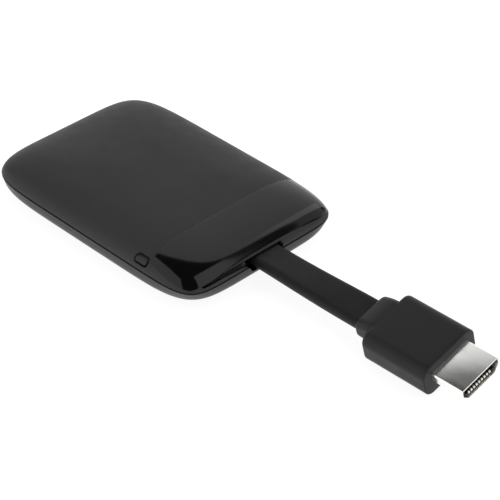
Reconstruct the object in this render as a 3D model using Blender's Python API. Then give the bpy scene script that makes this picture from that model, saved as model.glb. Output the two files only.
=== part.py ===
"""Streaming media player: a pebble-shaped box with a short flat cable and a video plug.

X runs from the power port to the plug, Y across the box, Z up.
The origin is the middle of the box's flat underside.
"""
import math

import bmesh
import bpy
from mathutils import Matrix, Vector

MM = 0.001
GAP = 0.3 * MM
SMALL_GAP = 0.12 * MM
SMOOTH_ANGLE = math.radians(35)

# Housing
HALF_LENGTH = 42.3 * MM
HALF_WIDTH = 28.7 * MM
FRONT_RIM_POWER = 9.6
BACK_RIM_POWER = 7.4
BODY_POWER = 6.0
OUTLINE_POINTS = 64
PARTING_Z = 6.0 * MM
CROWN_HEIGHT = 8.0 * MM
CROWN_POWER = 2.5
BELLY_HEIGHT = 6.3 * MM
BELLY_POWER = 4.5
WALL = 1.6 * MM
TONGUE_TOP_Z = 6.7 * MM
TONGUE_FOOT_Z = 4.6 * MM
TONGUE_THICKNESS = 0.8 * MM
TONGUE_LEVEL = 0.25
CROWN_STEPS = (0.0, 6.0, 14.0, 24.0, 35.0, 46.0, 57.0, 68.0, 79.0)
BELLY_LEVELS = (0.0, 0.30, 0.50, 0.66, 0.79, 0.89)

# Gloss panel over the cable end
PANEL_BACK_X = 25.3 * MM
PANEL_CORNER_X = 38.5 * MM
PANEL_SIDE_RISE = 3.5 * MM
PANEL_CORNER_RISE = 0.85 * MM
PANEL_FRONT_RISE = 2.75 * MM
PANEL_ARCH_HALF = 26.0 * MM
PANEL_ARCH_POWER = 3

# Mouth that the cable comes out of; it narrows to a groove on the near side.
# Each pair is (Y, height above the parting line) in millimetres.
MOUTH_OUTLINE = (
    (5.8, -1.5), (5.8, 1.6), (5.4, 2.1), (-12.5, 2.15), (-17.0, 2.05), (-20.0, 1.8), (-23.0, 1.25),
    (-23.0, 1.05), (-20.0, 1.2), (-16.3, 1.35), (-13.5, 1.25), (-8.7, 0.95), (-7.3, 0.5), (-6.5, -0.3),
    (-5.8, -1.5), (-5.3, -2.05), (5.3, -2.05),
)
GROMMET_INSET = 3.2 * MM
GROMMET_DEPTH = 1.4 * MM

# Flat cable
CABLE_WIDTH = 10.0 * MM
CABLE_THICKNESS = 3.3 * MM
CABLE_CORNER = 1.4 * MM
CABLE_Y = 0.2 * MM
CABLE_START_X = 28.4 * MM
CABLE_TWIST_FROM_X = 44.0 * MM
CABLE_TWIST_TO_X = 79.0 * MM
CABLE_STATIONS = 20

# Plug, measured from the middle of its metal nose, X forwards
PLUG_TIP = Vector((115.8 * MM, 0.8 * MM, 6.9 * MM))
PLUG_ROLL = math.radians(14.0)
PLUG_PITCH = math.radians(-0.6)
PLUG_YAW = math.radians(0.7)
NOSE_WIDTH = 13.9 * MM
NOSE_HEIGHT = 4.45 * MM
NOSE_SIDE_HEIGHT = 2.4 * MM
NOSE_LOWER_WIDTH = 9.9 * MM
NOSE_SHEET = 0.3 * MM
NOSE_BACK_X = -18.0 * MM
MOULD_FRONT_X = -10.0 * MM
MOULD_BACK_X = -30.9 * MM
MOULD_WIDTH = 19.5 * MM
MOULD_HEIGHT = 9.6 * MM
MOULD_CORNER = 3.0 * MM
BOOT_BACK_X = -36.4 * MM
BOOT_WIDTH = 12.4 * MM
BOOT_CORNER = 2.2 * MM
BOOT_BACK_LOW = -2.4 * MM
BOOT_BACK_HIGH = 3.4 * MM
BOOT_FRONT_LOW = -2.8 * MM
BOOT_FRONT_HIGH = 4.5 * MM
CABLE_END_X = -27.3 * MM
CONTACT_PITCH = 1.0 * MM
CONTACT_WIDTH = 0.45 * MM
CONTACT_THICKNESS = 0.2 * MM
UPPER_CONTACTS = 10
LOWER_CONTACTS = 9

# Reset button on the near long side
BUTTON_X = 22.8 * MM
BUTTON_Z = 8.85 * MM
BUTTON_LENGTH = 4.7 * MM
BUTTON_HEIGHT = 1.95 * MM
BUTTON_PROUD = 0.25 * MM
BUTTON_BACK_Y = -24.5 * MM
SWITCH_FACE_Y = -22.6 * MM
PLUNGER_RADIUS = 0.8 * MM
PLUNGER_Z = 8.4 * MM

# Circuit board and what stands on it
BOARD_BACK_X = -38.4 * MM
BOARD_FRONT_X = 28.6 * MM
BOARD_HALF_WIDTH = 23.2 * MM
BOARD_BOTTOM_Z = 2.8 * MM
BOARD_THICKNESS = 1.0 * MM
BOARD_CORNER = 7.0 * MM
PART_Z = BOARD_BOTTOM_Z + BOARD_THICKNESS + GAP
SHIELD_TOP_Z = 7.0 * MM
SHIELD_SHEET = 0.25 * MM
PAD_TOP_Z = 8.3 * MM
SINK_TOP_Z = 9.9 * MM
SCREW_SPOTS = ((-33.5, -18.5), (-33.5, 18.5), (14.0, -20.0), (14.0, 20.0))
SCREW_HOLE_RADIUS = 1.0 * MM
BOSS_RADIUS = 2.3 * MM
SCREW_HEAD_RADIUS = 1.7 * MM

# Power port in the back end
PORT_FACE_X = -41.6 * MM
PORT_DEPTH = 5.4 * MM
PORT_WIDTH = 7.6 * MM
PORT_LOWER_WIDTH = 5.6 * MM
PORT_HEIGHT = 2.9 * MM
PORT_SHEET = 0.3 * MM

SATIN_BLACK = (0.030, 0.030, 0.032)
GLOSS_BLACK = (0.006, 0.006, 0.007)
CABLE_BLACK = (0.016, 0.016, 0.017)
MOULD_BLACK = (0.022, 0.022, 0.023)
DARK_PLASTIC = (0.008, 0.008, 0.008)
NICKEL = (0.72, 0.70, 0.67)
ALUMINIUM = (0.62, 0.63, 0.64)
GOLD = (0.83, 0.62, 0.24)
BOARD_GREEN = (0.012, 0.060, 0.030)
CHIP_BLACK = (0.014, 0.014, 0.015)
PAD_GREY = (0.30, 0.32, 0.34)
CERAMIC_TAN = (0.50, 0.40, 0.28)
WHITE_PLASTIC = (0.60, 0.58, 0.53)


def clear_scene():
    for obj in list(bpy.data.objects):
        bpy.data.objects.remove(obj)


def make_material(name, colour, roughness, metallic):
    mat = bpy.data.materials.new(name)
    mat.use_nodes = True
    shader = mat.node_tree.nodes["Principled BSDF"]
    shader.inputs["Base Color"].default_value = (*colour, 1.0)
    shader.inputs["Roughness"].default_value = roughness
    shader.inputs["Metallic"].default_value = metallic
    return mat


def mesh_object(name, bm, look=None, parent=None):
    """Turn bm into an object; look is (colour, roughness, metallic)."""
    bmesh.ops.recalc_face_normals(bm, faces=bm.faces)
    mesh = bpy.data.meshes.new(name)
    bm.to_mesh(mesh)
    bm.free()
    mesh.shade_smooth()
    mesh.set_sharp_from_angle(angle=SMOOTH_ANGLE)
    obj = bpy.data.objects.new(name, mesh)
    bpy.context.scene.collection.objects.link(obj)
    obj.parent = parent
    if look:
        mesh.materials.append(make_material(name, *look))
    return obj


def apply_boolean(target, cutter, operation="DIFFERENCE"):
    cutter.hide_render = True
    cutter.display_type = "WIRE"
    modifier = target.modifiers.new(cutter.name, "BOOLEAN")
    modifier.operation = operation
    modifier.object = cutter


def loft(rings):
    """Join rings of equal length into a closed body with flat ends."""
    bm = bmesh.new()
    rows = [[bm.verts.new(point) for point in ring] for ring in rings]
    count = len(rows[0])
    for lower, upper in zip(rows, rows[1:]):
        for i in range(count):
            j = (i + 1) % count
            bm.faces.new((lower[i], lower[j], upper[j], upper[i]))
    bm.faces.new(reversed(rows[0]))
    bm.faces.new(rows[-1])
    return bm


def corner_power(front, level):
    """How square the outline is: squarest at the rim (level 0), rounder up and down from it."""
    rim_power = FRONT_RIM_POWER if front else BACK_RIM_POWER
    return BODY_POWER + (rim_power - BODY_POWER) * (1 - level) ** 3


def outline_ring(inset, z, scale=1.0, level=0.0):
    """The housing's plan outline, moved in by inset and scaled towards the middle."""
    half_x = (HALF_LENGTH - inset) * scale
    half_y = (HALF_WIDTH - inset) * scale
    points = []
    for i in range(OUTLINE_POINTS):
        angle = 2 * math.pi * (i + 0.5) / OUTLINE_POINTS
        power = 2.0 / corner_power(math.cos(angle) > 0, level)
        x = half_x * math.copysign(abs(math.cos(angle)) ** power, math.cos(angle))
        y = half_y * math.copysign(abs(math.sin(angle)) ** power, math.sin(angle))
        points.append(Vector((x, y, z)))
    return points


def crown_rings(inset, base_z):
    """Rings of the domed top, from its rim to just short of the middle."""
    height = CROWN_HEIGHT - inset
    rings = [outline_ring(inset, base_z)]
    for step in CROWN_STEPS[1:]:
        angle = math.radians(step)
        scale = math.cos(angle) ** (2 / CROWN_POWER)
        level = math.sin(angle) ** (2 / CROWN_POWER)
        rings.append(outline_ring(inset, PARTING_Z + height * level, scale, level))
    rings.append(outline_ring(inset, PARTING_Z + height, 0.12, 1.0))
    return rings


def belly_rings(inset, rim_z):
    """Rings of the rounded underside, from its rim down to the flat."""
    flat_level = PARTING_Z / BELLY_HEIGHT
    height = BELLY_HEIGHT - inset
    rings = [outline_ring(inset, rim_z)]
    for level in BELLY_LEVELS[1:] + (flat_level,):
        scale = (1 - level ** BELLY_POWER) ** (1 / BELLY_POWER)
        rings.append(outline_ring(inset, PARTING_Z - height * level, scale, level))
    return rings


def crown_shell():
    """The whole upper half: dome outside, dome inside, joined round the rim."""
    rim_z = PARTING_Z + GAP / 2
    outer = crown_rings(0.0, rim_z)
    inner = crown_rings(WALL, rim_z)
    return loft(list(reversed(inner)) + outer)


def rounded_section(width, height, corner, steps=4):
    """Points (y, z) round a rectangle with round corners."""
    points = []
    corners = ((1, 1, 0), (-1, 1, 90), (-1, -1, 180), (1, -1, 270))
    for side_y, side_z, start in corners:
        centre_y = side_y * (width / 2 - corner)
        centre_z = side_z * (height / 2 - corner)
        for step in range(steps + 1):
            angle = math.radians(start + 90 * step / steps)
            y = centre_y + corner * math.cos(angle)
            z = centre_z + corner * math.sin(angle)
            points.append((y, z))
    return points


def prism_x(name, section, x_start, x_end, look=None, parent=None):
    rings = [[Vector((x, y, z)) for y, z in section] for x in (x_start, x_end)]
    return mesh_object(name, loft(rings), look, parent)


def box(name, low, high, look=None, parent=None, bevel=0.0):
    """A block between two corners given in millimetres."""
    low = Vector(low) * MM
    high = Vector(high) * MM
    bm = bmesh.new()
    bmesh.ops.create_cube(bm, size=1.0)
    size = high - low
    bmesh.ops.scale(bm, vec=size, verts=bm.verts)
    if bevel:
        bmesh.ops.bevel(bm, geom=bm.edges, offset=bevel, segments=2, profile=0.5, affect="EDGES")
    bmesh.ops.translate(bm, vec=(low + high) / 2, verts=bm.verts)
    return mesh_object(name, bm, look, parent)


def lathe(name, profile, centre, look=None, segments=20, turn=None):
    """A round solid from (radius, height) pairs, standing along Z or turned."""
    rings = []
    for radius, height in profile:
        ring = []
        for i in range(segments):
            angle = 2 * math.pi * i / segments
            ring.append(Vector((radius * math.cos(angle), radius * math.sin(angle), height)))
        rings.append(ring)
    bm = loft(rings)
    if turn:
        bmesh.ops.transform(bm, matrix=turn, verts=bm.verts)
    bmesh.ops.translate(bm, vec=centre, verts=bm.verts)
    return mesh_object(name, bm, look)


def panel_zone(name, gap):
    """The space that the gloss panel takes, open upwards and forwards."""
    far_x = HALF_LENGTH + 10 * MM
    high_z = PARTING_Z + CROWN_HEIGHT + 10 * MM
    side = HALF_WIDTH + 6 * MM
    count = 28
    rings = []
    for i in range(count + 1):
        y = side * (2 * i / count - 1)
        arch = max(0.0, 1 - abs(y / PANEL_ARCH_HALF) ** PANEL_ARCH_POWER)
        corner_z = PARTING_Z + PANEL_CORNER_RISE + gap
        front_z = corner_z + (PANEL_FRONT_RISE - PANEL_CORNER_RISE) * arch
        side_z = PARTING_Z + PANEL_SIDE_RISE + gap
        back_x = PANEL_BACK_X + gap
        rings.append([
            Vector((back_x, y, side_z)),
            Vector((PANEL_CORNER_X, y, corner_z)),
            Vector((PANEL_CORNER_X + 1 * MM, y, front_z)),
            Vector((far_x, y, front_z)),
            Vector((far_x, y, high_z)),
            Vector((back_x, y, high_z)),
        ])
    return mesh_object(name, loft(rings))


def mouth_cutter(name):
    """Prism along X with the outline of the cable's mouth."""
    section = [(y * MM, PARTING_Z + rise * MM) for y, rise in MOUTH_OUTLINE]
    return prism_x(name, section, 35 * MM, HALF_LENGTH + 10 * MM)


def pill_cutter(name, length, height, y_start, y_end):
    """A pill-shaped prism along Y at the button's place."""
    section = rounded_section(length, height, height / 2 - 0.2 * MM)
    rings = []
    for y in (y_start, y_end):
        rings.append([Vector((BUTTON_X + u, y, BUTTON_Z + v)) for u, v in section])
    return mesh_object(name, loft(rings))


def port_section(grow):
    """Outline (y, z) of the power port's nose about its own centre."""
    half = PORT_WIDTH / 2 + grow
    lower = PORT_LOWER_WIDTH / 2 + grow
    top = PORT_HEIGHT / 2 + grow
    middle = -0.35 * MM
    return [(half, middle), (half, top), (-half, top), (-half, middle), (-lower, -top), (lower, -top)]


def port_centre_z():
    return PART_Z + PORT_HEIGHT / 2


def port_prism(name, grow, x_start, x_end, look=None):
    centre = port_centre_z()
    section = [(y, z + centre) for y, z in port_section(grow)]
    return prism_x(name, section, x_start, x_end, look)


def cable_hole(name, x_start, x_end):
    section = rounded_section(CABLE_WIDTH + 2 * GAP, CABLE_THICKNESS + 2 * GAP, CABLE_CORNER)
    placed = [(y + CABLE_Y, z + PARTING_Z) for y, z in section]
    return prism_x(name, placed, x_start, x_end)


def make_top_shell(mouth, button_hole, port_hole):
    shell = mesh_object("top_shell", crown_shell(), (SATIN_BLACK, 0.42, 0.0))
    apply_boolean(shell, panel_zone("panel_zone_cut", 0.0))
    apply_boolean(shell, mouth)
    apply_boolean(shell, button_hole)
    apply_boolean(shell, port_hole)


def make_gloss_panel(mouth):
    panel = mesh_object("gloss_panel", crown_shell(), (GLOSS_BLACK, 0.06, 0.0))
    apply_boolean(panel, panel_zone("panel_zone_keep", GAP), "INTERSECT")
    apply_boolean(panel, mouth)


def make_bottom_shell(mouth, port_hole):
    rim_z = PARTING_Z - GAP / 2
    tongue_out = WALL + GAP
    tongue_in = tongue_out + TONGUE_THICKNESS
    inner = belly_rings(WALL, TONGUE_FOOT_Z - 0.4 * MM)
    del inner[1]
    rings = list(reversed(belly_rings(0.0, rim_z)))
    rings.append(outline_ring(tongue_out, rim_z, level=TONGUE_LEVEL))
    rings.append(outline_ring(tongue_out, TONGUE_TOP_Z, level=TONGUE_LEVEL))
    rings.append(outline_ring(tongue_in, TONGUE_TOP_Z, level=TONGUE_LEVEL))
    rings.append(outline_ring(tongue_in, TONGUE_FOOT_Z, level=TONGUE_LEVEL))
    rings.extend(inner)
    shell = mesh_object("bottom_shell", loft(rings), (SATIN_BLACK, 0.42, 0.0))
    boss_top = BOARD_BOTTOM_Z - GAP
    apply_boolean(shell, screw_group("board_bosses", BOSS_RADIUS, 1.0 * MM, boss_top), "UNION")
    apply_boolean(shell, screw_group("boss_holes", SCREW_HOLE_RADIUS, 1.5 * MM, boss_top + 1 * MM))
    apply_boolean(shell, mouth)
    apply_boolean(shell, port_hole)


def screw_group(name, radius, z_start, z_end):
    """One upright cylinder at every board screw, as a single cutter."""
    bm = bmesh.new()
    for x, y in SCREW_SPOTS:
        place = Matrix.Translation((x * MM, y * MM, (z_start + z_end) / 2))
        bmesh.ops.create_cone(bm, cap_ends=True, segments=20, radius1=radius, radius2=radius,
                              depth=z_end - z_start, matrix=place)
    return mesh_object(name, bm)


def make_board_screws():
    profile = (
        (0.65 * MM, 1.7 * MM),
        (0.65 * MM, PART_Z),
        (SCREW_HEAD_RADIUS, PART_Z),
        (SCREW_HEAD_RADIUS, PART_Z + 0.7 * MM),
        (SCREW_HEAD_RADIUS - 0.3 * MM, PART_Z + 1.0 * MM),
    )
    for number, (x, y) in enumerate(SCREW_SPOTS, start=1):
        lathe("board_screw_%d" % number, profile, Vector((x * MM, y * MM, 0)), (NICKEL, 0.35, 1.0))


def make_cable_grommet():
    """Curved plate behind the mouth, with the cable through it."""
    bm = bmesh.new()
    low_z = PARTING_Z - 2.4 * MM
    high_z = PARTING_Z + 2.2 * MM
    front = GROMMET_INSET
    back = GROMMET_INSET + GROMMET_DEPTH
    rings = []
    for inset, z in ((front, low_z), (front, high_z), (back, high_z), (back, low_z)):
        ring = outline_ring(inset, z, level=TONGUE_LEVEL)
        rings.append([bm.verts.new(point) for point in ring])
    for ring, following in zip(rings, rings[1:] + rings[:1]):
        for i in range(OUTLINE_POINTS):
            j = (i + 1) % OUTLINE_POINTS
            bm.faces.new((ring[i], ring[j], following[j], following[i]))
    plate = mesh_object("cable_grommet", bm, (DARK_PLASTIC, 0.5, 0.0))
    apply_boolean(plate, box("grommet_extent", (30, -23, 0), (50, 10, 12)), "INTERSECT")
    apply_boolean(plate, cable_hole("grommet_hole", 35 * MM, 50 * MM))


def make_cable_clamp():
    clamp = box("cable_clamp", (33.2, -8.4, 2.8), (37.2, 8.4, 8.8), (DARK_PLASTIC, 0.55, 0.0),
                bevel=0.5 * MM)
    apply_boolean(clamp, cable_hole("clamp_hole", 30 * MM, 39 * MM))


def plug_matrix():
    turn = Matrix.Rotation(PLUG_YAW, 4, "Z") @ Matrix.Rotation(PLUG_PITCH, 4, "Y")
    return Matrix.Translation(PLUG_TIP) @ turn @ Matrix.Rotation(PLUG_ROLL, 4, "X")


def ease(value):
    value = min(1.0, max(0.0, value))
    return value * value * (3 - 2 * value)


def cable_route(count):
    """Stations (centre, roll) from the board connector into the plug."""
    frame = plug_matrix()
    end = frame @ Vector((CABLE_END_X, 0, 0))
    boot = frame @ Vector((BOOT_BACK_X, 0, 0))
    exit_x = HALF_LENGTH
    stations = []
    for i in range(count):
        x = CABLE_START_X + (end.x - CABLE_START_X) * i / (count - 1)
        beyond = (end - boot) * ((x - boot.x) / (end.x - boot.x)) + boot
        share = ease((x - exit_x) / (boot.x - exit_x))
        y = CABLE_Y + (beyond.y - CABLE_Y) * share
        z = PARTING_Z + (beyond.z - PARTING_Z) * share
        roll = PLUG_ROLL * ease((x - CABLE_TWIST_FROM_X) / (CABLE_TWIST_TO_X - CABLE_TWIST_FROM_X))
        stations.append((Vector((x, y, z)), roll))
    return stations


def make_flat_cable():
    section = rounded_section(CABLE_WIDTH, CABLE_THICKNESS, CABLE_CORNER, steps=3)
    rings = []
    for centre, roll in cable_route(CABLE_STATIONS):
        turn = Matrix.Rotation(roll, 3, "X")
        rings.append([centre + turn @ Vector((0, y, z)) for y, z in section])
    mesh_object("flat_cable", loft(rings), (CABLE_BLACK, 0.45, 0.0))


def make_reset_button():
    body = pill_cutter("reset_button", BUTTON_LENGTH, BUTTON_HEIGHT, -HALF_WIDTH - 2 * MM, BUTTON_BACK_Y)
    body.data.materials.append(make_material("reset_button", SATIN_BLACK, 0.4, 0.0))
    proud = loft(crown_rings(-BUTTON_PROUD, PARTING_Z - 1 * MM))
    apply_boolean(body, mesh_object("button_face", proud), "INTERSECT")
    ears = box("button_ears", (BUTTON_X / MM - 3.8, -25.3, 7.9), (BUTTON_X / MM + 3.8, -24.6, 8.7))
    apply_boolean(body, ears, "UNION")


def make_switch():
    low = (BUTTON_X / MM - 3.0, SWITCH_FACE_Y / MM, PART_Z / MM)
    high = (BUTTON_X / MM + 3.0, SWITCH_FACE_Y / MM + 3.6, 9.6)
    body = box("reset_switch", low, high, (DARK_PLASTIC, 0.5, 0.0), bevel=0.15 * MM)
    turn = Matrix.Rotation(math.radians(90), 4, "X")
    face = Vector((BUTTON_X, SWITCH_FACE_Y, PLUNGER_Z))
    well_radius = PLUNGER_RADIUS + SMALL_GAP
    well = lathe("plunger_well", ((well_radius, -1.4 * MM), (well_radius, 1 * MM)), face, turn=turn)
    apply_boolean(body, well)
    plunger_tip = SWITCH_FACE_Y - BUTTON_BACK_Y - SMALL_GAP
    lathe("switch_plunger", ((PLUNGER_RADIUS, -0.9 * MM), (PLUNGER_RADIUS, plunger_tip)), face,
          (WHITE_PLASTIC, 0.45, 0.0), turn=turn)


def make_board():
    section = rounded_section(BOARD_FRONT_X - BOARD_BACK_X, 2 * BOARD_HALF_WIDTH, BOARD_CORNER)
    middle = (BOARD_FRONT_X + BOARD_BACK_X) / 2
    rings = []
    for z in (BOARD_BOTTOM_Z, BOARD_BOTTOM_Z + BOARD_THICKNESS):
        rings.append([Vector((middle + u, v, z)) for u, v in section])
    board = mesh_object("main_board", loft(rings), (BOARD_GREEN, 0.4, 0.0))
    apply_boolean(board, screw_group("board_holes", SCREW_HOLE_RADIUS, 1 * MM, 6 * MM))


def make_board_parts():
    """Chips and small parts: name, corner x and y, size x, y and height, look."""
    chip = (CHIP_BLACK, 0.45, 0.0)
    blocks = (
        ("system_chip", -8.0, -7.5, 14.0, 14.0, 1.2, chip),
        ("memory_chip_1", -20.0, 1.5, 10.0, 8.5, 1.0, chip),
        ("memory_chip_2", -20.0, -9.5, 10.0, 8.5, 1.0, chip),
        ("storage_chip", -6.5, -20.8, 11.5, 8.0, 1.1, chip),
        ("power_chip", -33.0, -11.0, 5.0, 5.0, 0.9, chip),
        ("power_inductor_1", -33.0, 6.0, 5.0, 5.0, 2.4, (CERAMIC_TAN, 0.7, 0.0)),
        ("power_inductor_2", 12.0, -8.0, 4.0, 4.0, 2.0, (CERAMIC_TAN, 0.7, 0.0)),
        ("clock_crystal", 12.0, 4.5, 3.2, 5.0, 0.9, (NICKEL, 0.3, 1.0)),
        ("wifi_module", -5.0, 12.5, 12.0, 9.0, 1.9, (ALUMINIUM, 0.35, 1.0)),
    )
    for name, x, y, size_x, size_y, height, look in blocks:
        low = (x, y, PART_Z / MM)
        high = (x + size_x, y + size_y, PART_Z / MM + height)
        box(name, low, high, look, bevel=0.15 * MM)


def make_shield():
    bottom = PART_Z / MM
    top = SHIELD_TOP_Z / MM
    sheet = SHIELD_SHEET / MM
    back, front, side = -22.5, 8.5, 11.5
    can = box("chip_shield", (back, -side, bottom), (front, side, top), (NICKEL, 0.32, 1.0), bevel=0.3 * MM)
    inner = side - sheet
    hollow = box("shield_hollow", (back + sheet, -inner, bottom - 1), (front - sheet, inner, top - sheet))
    apply_boolean(can, hollow)


def make_cooling():
    gap = GAP / MM
    pad_z = SHIELD_TOP_Z / MM + gap
    pad_look = (PAD_GREY, 0.8, 0.0)
    box("thermal_pad", (-18.0, -9.0, pad_z), (5.0, 9.0, PAD_TOP_Z / MM), pad_look, bevel=0.2 * MM)
    sink_z = PAD_TOP_Z / MM + gap
    sink = box("heat_sink", (-27.0, -18.0, sink_z), (17.0, 18.0, SINK_TOP_Z / MM), (ALUMINIUM, 0.4, 1.0),
               bevel=0.3 * MM)
    grooves = bmesh.new()
    groove_size = Matrix.Diagonal((3 * MM, 30 * MM, 1.2 * MM, 1))
    for i in range(5):
        place = Matrix.Translation(((-21 + 8 * i) * MM, 0, SINK_TOP_Z))
        bmesh.ops.create_cube(grooves, size=1.0, matrix=place @ groove_size)
    apply_boolean(sink, mesh_object("sink_grooves", grooves))


def make_antennas():
    for side, name in ((-1, "wifi_antenna_near"), (1, "wifi_antenna_far")):
        y_values = sorted((side * 23.7, side * 24.3))
        box(name, (-30.0, y_values[0], PART_Z / MM), (-12.0, y_values[1], 8.6), (GOLD, 0.4, 1.0))


def make_cable_connector():
    low = (19.6, -6.4, PART_Z / MM)
    block = box("cable_connector", low, (30.6, 7.2, 8.2), (WHITE_PLASTIC, 0.5, 0.0), bevel=0.25 * MM)
    apply_boolean(block, cable_hole("connector_mouth", CABLE_START_X - GAP, 34 * MM))


def make_power_port():
    back_x = PORT_FACE_X + PORT_DEPTH
    shell = port_prism("power_port_shell", 0.0, PORT_FACE_X, back_x, (NICKEL, 0.25, 1.0))
    hollow = port_prism("power_port_hollow", -PORT_SHEET, PORT_FACE_X - 1 * MM, back_x + 1 * MM)
    apply_boolean(shell, hollow)
    centre = port_centre_z() / MM
    base_x = back_x / MM - 1.2
    inside = -(PORT_SHEET + SMALL_GAP)
    look = (CHIP_BLACK, 0.5, 0.0)
    base = port_prism("power_port_tongue", inside, base_x * MM, back_x - SMALL_GAP, look)
    blade_low = (PORT_FACE_X / MM + 0.6, -1.9, centre + 0.1)
    blade_high = (base_x + 0.4, 1.9, centre + 0.7)
    apply_boolean(base, box("port_tongue_blade", blade_low, blade_high), "UNION")


def nose_section(inset):
    """D-shaped outline (y, z) of the plug's metal nose, moved in by inset."""
    half = NOSE_WIDTH / 2 - inset
    top = NOSE_HEIGHT / 2 - inset
    knee = NOSE_HEIGHT / 2 - NOSE_SIDE_HEIGHT
    lower = NOSE_LOWER_WIDTH / 2 - inset * 0.6
    shoulder = 0.5 * MM
    return [
        (half, knee), (half, top - shoulder), (half - shoulder * 0.3, top - shoulder * 0.3),
        (half - shoulder, top), (shoulder - half, top), (shoulder * 0.3 - half, top - shoulder * 0.3),
        (-half, top - shoulder), (-half, knee), (-lower, -top), (lower, -top),
    ]


def make_plug_nose(plug):
    shell = prism_x("plug_shell", nose_section(0.0), NOSE_BACK_X, 0.0, (NICKEL, 0.28, 1.0), plug)
    bore = nose_section(NOSE_SHEET)
    apply_boolean(shell, prism_x("plug_shell_hollow", bore, NOSE_BACK_X - 1 * MM, 1 * MM, parent=plug))
    lining = nose_section(NOSE_SHEET + SMALL_GAP)
    look = (DARK_PLASTIC, 0.5, 0.0)
    insulator = prism_x("plug_insulator", lining, NOSE_BACK_X + 0.3 * MM, -0.9 * MM, look, plug)
    mouth = box("plug_mouth", (-9.5, -5.4, -1.0), (1.0, 5.4, 1.15), parent=plug)
    apply_boolean(insulator, mouth)


def make_plug_contacts(plug):
    rows = (("upper", UPPER_CONTACTS, 0.87), ("lower", LOWER_CONTACTS, -0.92))
    pitch = CONTACT_PITCH / MM
    half_width = CONTACT_WIDTH / MM / 2
    half_height = CONTACT_THICKNESS / MM / 2
    for row, count, z in rows:
        for i in range(count):
            y = (i - (count - 1) / 2) * pitch
            low = (-9.2, y - half_width, z - half_height + 0.08)
            high = (-1.6, y + half_width, z + half_height + 0.08)
            box("plug_contact_%s_%02d" % (row, i + 1), low, high, (GOLD, 0.3, 1.0), plug)


def cable_passage(name, plug):
    section = rounded_section(CABLE_WIDTH + 2 * GAP, CABLE_THICKNESS + 2 * GAP, CABLE_CORNER)
    return prism_x(name, section, -40 * MM, -26 * MM, parent=plug)


def make_plug_mould(plug):
    edge = 0.9 * MM
    stations = (
        (MOULD_BACK_X, edge),
        (MOULD_BACK_X + 0.3 * edge, 0.3 * edge),
        (MOULD_BACK_X + edge, 0.0),
        (MOULD_FRONT_X - 0.6 * edge, 0.0),
        (MOULD_FRONT_X - 0.15 * edge, 0.2 * edge),
        (MOULD_FRONT_X, 0.5 * edge),
    )
    rings = []
    for x, trim in stations:
        section = rounded_section(MOULD_WIDTH - 2 * trim, MOULD_HEIGHT - 2 * trim, MOULD_CORNER - trim)
        rings.append([Vector((x, y, z)) for y, z in section])
    mould = mesh_object("plug_overmould", loft(rings), (MOULD_BLACK, 0.4, 0.0), plug)
    socket = prism_x("overmould_nose_cut", nose_section(-GAP), NOSE_BACK_X - GAP, 1 * MM, parent=plug)
    room = box("overmould_board_room", (-27.0, -7.2, -1.6), (-17.0, 7.2, 1.9), parent=plug)
    apply_boolean(mould, socket)
    apply_boolean(mould, room)
    apply_boolean(mould, cable_passage("overmould_cable_cut", plug))


def make_cable_boot(plug):
    """Strain relief that tapers from the moulding down to the cable."""
    edge = 0.9 * MM
    front_x = MOULD_BACK_X - GAP
    stations = (
        (BOOT_BACK_X, edge),
        (BOOT_BACK_X + 0.3 * edge, 0.3 * edge),
        (BOOT_BACK_X + edge, 0.0),
        (front_x, 0.0),
    )
    rings = []
    for x, trim in stations:
        share = (x - BOOT_BACK_X) / (front_x - BOOT_BACK_X)
        low = BOOT_BACK_LOW + (BOOT_FRONT_LOW - BOOT_BACK_LOW) * share + trim
        high = BOOT_BACK_HIGH + (BOOT_FRONT_HIGH - BOOT_BACK_HIGH) * share - trim
        section = rounded_section(BOOT_WIDTH - 2 * trim, high - low, BOOT_CORNER - trim)
        rings.append([Vector((x, y, z + (low + high) / 2)) for y, z in section])
    boot = mesh_object("cable_boot", loft(rings), (MOULD_BLACK, 0.45, 0.0), plug)
    apply_boolean(boot, cable_passage("boot_cable_cut", plug))


def make_plug():
    plug = bpy.data.objects.new("plug_frame", None)
    plug.matrix_world = plug_matrix()
    bpy.context.scene.collection.objects.link(plug)
    make_plug_nose(plug)
    make_plug_contacts(plug)
    box("plug_board", (-26.6, -6.2, -0.4), (-18.4, 6.2, 0.4), (BOARD_GREEN, 0.4, 0.0), plug)
    make_plug_mould(plug)
    make_cable_boot(plug)


def make_housing():
    mouth = mouth_cutter("cable_mouth")
    hole_size = (BUTTON_LENGTH + 2 * GAP, BUTTON_HEIGHT + 2 * GAP)
    button_hole = pill_cutter("button_hole", *hole_size, -35 * MM, -22 * MM)
    port_hole = port_prism("port_hole", GAP + 0.1 * MM, -50 * MM, -36 * MM)
    make_top_shell(mouth, button_hole, port_hole)
    make_gloss_panel(mouth)
    make_bottom_shell(mouth, port_hole)


def main():
    clear_scene()
    make_housing()
    make_cable_grommet()
    make_cable_clamp()
    make_reset_button()
    make_switch()
    make_board()
    make_board_parts()
    make_shield()
    make_cooling()
    make_board_screws()
    make_antennas()
    make_cable_connector()
    make_power_port()
    make_flat_cable()
    make_plug()


main()
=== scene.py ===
"""Looks of the streaming media player: fine shells, fine plug, materials, floor, light and camera.

The frame's axes are X along the cable, Y across the box and Z up, in metres.
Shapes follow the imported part's own rules: a superelliptic outline, a domed top and a rounded belly.
"""

import math

import bmesh
import bpy
import numpy as np
from mathutils import Matrix, Vector


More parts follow.
